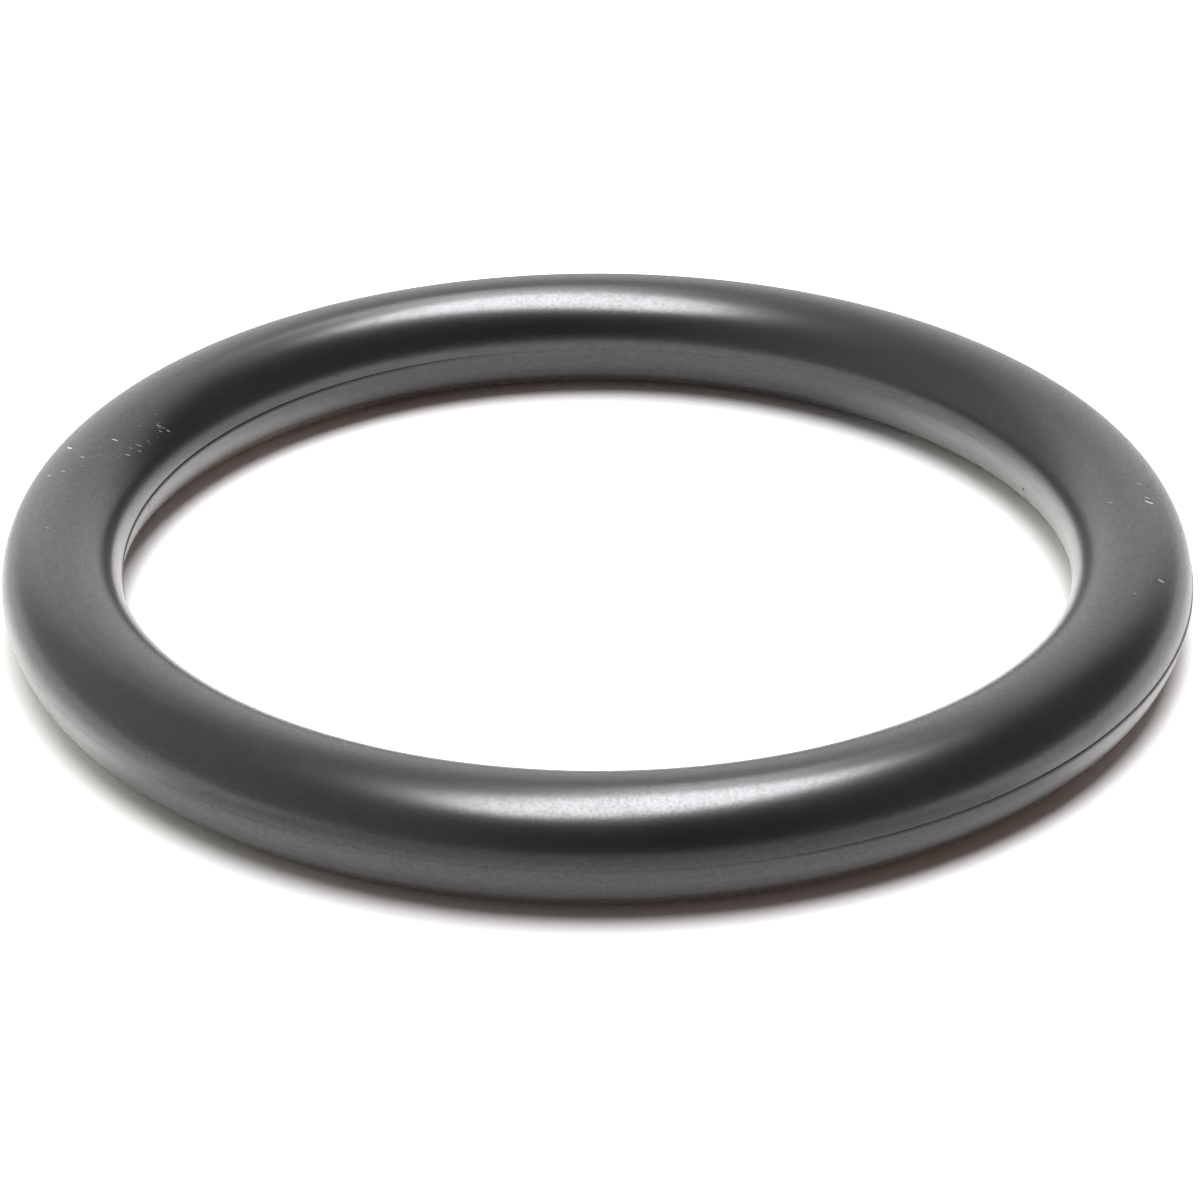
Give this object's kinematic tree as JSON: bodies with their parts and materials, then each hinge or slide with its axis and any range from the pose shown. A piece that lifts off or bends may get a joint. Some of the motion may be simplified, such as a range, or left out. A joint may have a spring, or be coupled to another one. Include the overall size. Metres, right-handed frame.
{
  "type": "fuel pump sealing ring",
  "caption": "Round black rubber sealing ring for a fuel pump flange: a closed round cord with the narrow trimmed flash of its mould round the inside and the outside.",
  "frame": {"origin": "centre of the ring on its parting plane, halfway up the cord", "axes": "+Z along the ring's axis; X and Y are free, because the ring is the same all round"},
  "size_m": [0.0602, 0.0602, 0.006],
  "materials": {
    "black_rubber": "satin"
  },
  "bodies": {
    "root": {"sealing_ring": "black_rubber"}
  },
  "joints": []
}
